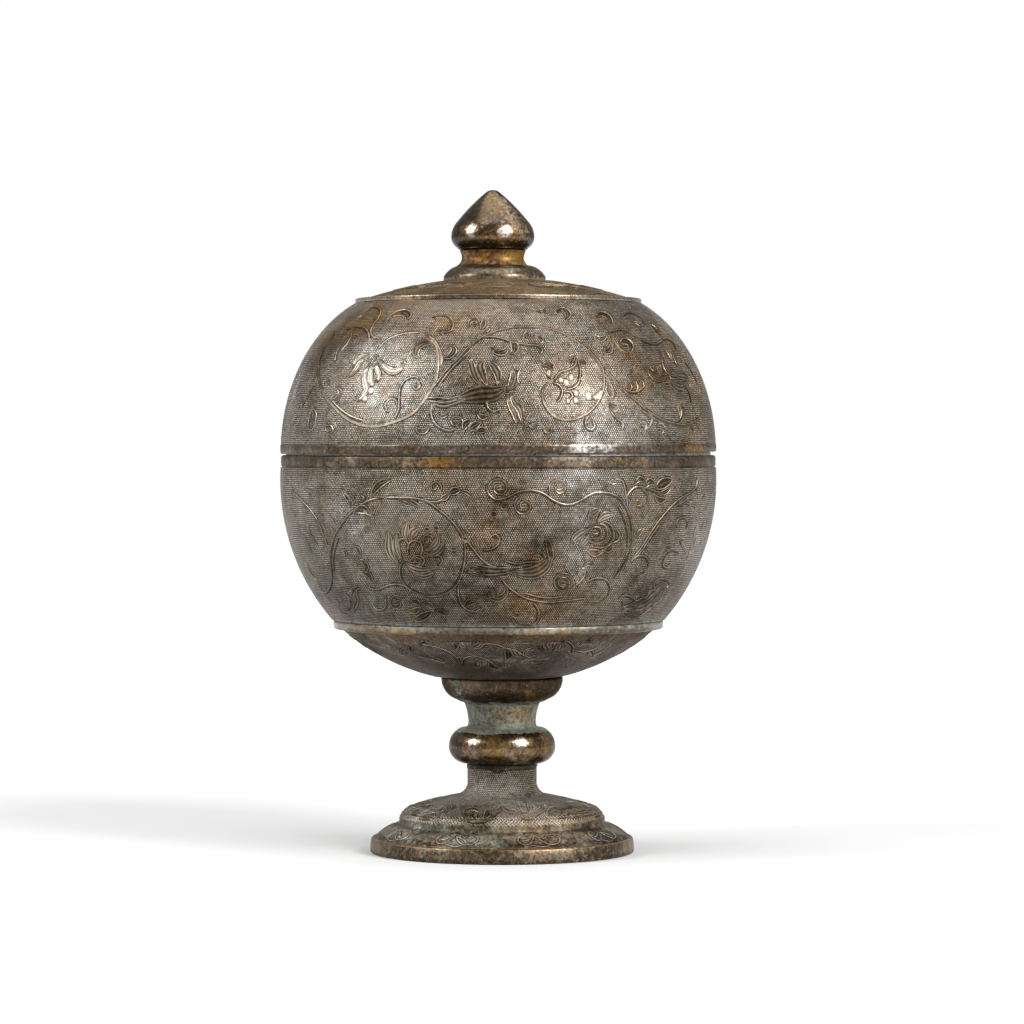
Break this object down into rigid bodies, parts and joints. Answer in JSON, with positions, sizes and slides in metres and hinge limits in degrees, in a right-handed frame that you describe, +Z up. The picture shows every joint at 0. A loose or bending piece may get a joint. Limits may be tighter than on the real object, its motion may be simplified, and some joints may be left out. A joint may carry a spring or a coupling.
{
  "type": "covered stem cup",
  "caption": "Round covered cup on a knopped stem and spreading foot; the domed cover with bud finial lifts straight off its locating ring.",
  "frame": {"origin": "on the floor under the middle of the globe, at the lowest face of the foot", "axes": "+Z up along the cup's axis, +X to the right as seen in the picture, +Y away from the viewer"},
  "size_m": [0.0988, 0.0988, 0.1499],
  "materials": {
    "punched_bronze": "silver-grey and brown metal, ring-punched ground with chased scrolls, worn bright on the high places",
    "polished_bronze": "dark brown polished metal with gold-brown patches",
    "green_patina": "metal under a pale green-grey crust",
    "inner_bronze": "plain grey-brown metal, dull"
  },
  "bodies": {
    "cup": {"foot_rim": "polished_bronze", "foot": "punched_bronze", "stem_knop": "polished_bronze", "stem_neck": "green_patina", "stem_saucer": "polished_bronze", "tie_rod": "inner_bronze", "foot_washer": "inner_bronze", "bowl_washer": "inner_bronze", "bowl_cap": "punched_bronze", "bowl_band": "punched_bronze", "girdle_wire": "polished_bronze", "rim_flange": "inner_bronze"},
    "cover": {"cover_band": "punched_bronze", "cover_crown": "punched_bronze", "shoulder_wire": "polished_bronze", "finial_collar": "polished_bronze", "finial_neck": "polished_bronze", "finial_bud": "polished_bronze", "finial_tang": "inner_bronze", "finial_washer": "inner_bronze"}
  },
  "joints": [
    {"name": "cover_lift", "type": "slide", "parent": "cup", "child": "cover", "axis": [0, 0, 1], "range_m": [0, 0.1]}
  ]
}
